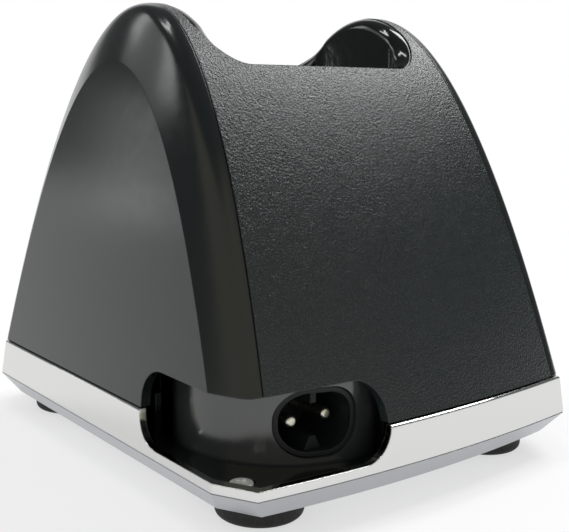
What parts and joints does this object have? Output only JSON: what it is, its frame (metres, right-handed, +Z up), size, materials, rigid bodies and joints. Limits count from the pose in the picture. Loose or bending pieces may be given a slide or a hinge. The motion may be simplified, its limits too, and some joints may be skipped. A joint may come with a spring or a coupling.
{
  "type": "clipper charging stand",
  "caption": "Arched desk stand for a cordless hair clipper: a lipped well with two sprung contacts, a chromed base band and a two-pole mains inlet in a corner notch.",
  "frame": {"origin": "middle of the stand's footprint, on the table", "axes": "+Z up; the front faces -Y, the mains inlet faces +Y, the notched side is +X"},
  "size_m": [0.096, 0.1164, 0.0989],
  "materials": {
    "shell_textured": "fine textured",
    "cap_gloss": "polished",
    "liner_gloss": "polished",
    "band_chrome": "polished",
    "tray_satin": "satin",
    "deck_black": "semi-matt",
    "ballast_steel": "rolled",
    "pin_nickel": "bright",
    "lead_insulation": "satin",
    "board_laminate": "satin",
    "transformer_core": "varnished",
    "capacitor_can": "satin",
    "spring_steel": "drawn wire",
    "screw_steel": "zinc plated",
    "foot_rubber": "matt"
  },
  "bodies": {
    "stand": {"main_shell": "shell_textured", "side_cap_right": "cap_gloss", "side_cap_left": "cap_gloss", "cradle_liner": "liner_gloss", "trim_band": "band_chrome", "base_tray": "tray_satin", "base_deck": "deck_black", "ballast_plate": "ballast_steel", "socket_housing": "cap_gloss", "inlet_body": "deck_black", "mains_pin_left": "pin_nickel", "mains_pin_right": "pin_nickel", "mains_leads": "lead_insulation", "circuit_board": "board_laminate", "transformer": "transformer_core", "filter_capacitor": "capacitor_can", "terminal_block": "deck_black", "contact_block": "deck_black", "contact_retainer": "deck_black", "contact_terminals": "pin_nickel", "contact_leads": "lead_insulation", "contact_spring_left": "spring_steel", "contact_spring_right": "spring_steel", "base_screws": "screw_steel", "cradle_screws": "screw_steel", "notch_screw": "screw_steel", "foot_rear_right": "foot_rubber", "foot_rear_left": "foot_rubber", "foot_front_right": "foot_rubber", "foot_front_left": "foot_rubber"},
    "contact_left": {"contact_pin_left": "pin_nickel"},
    "contact_right": {"contact_pin_right": "pin_nickel"}
  },
  "joints": [
    {"name": "contact_left_press", "type": "slide", "parent": "stand", "child": "contact_left", "axis": [0, 0, -1], "range_m": [0, 0.002], "stiffness_N_per_m": 300, "springref_m": -0.0005, "deforming": ["contact_spring_left"]},
    {"name": "contact_right_press", "type": "slide", "parent": "stand", "child": "contact_right", "axis": [0, 0, -1], "range_m": [0, 0.002], "stiffness_N_per_m": 300, "springref_m": -0.0005, "deforming": ["contact_spring_right"]}
  ]
}
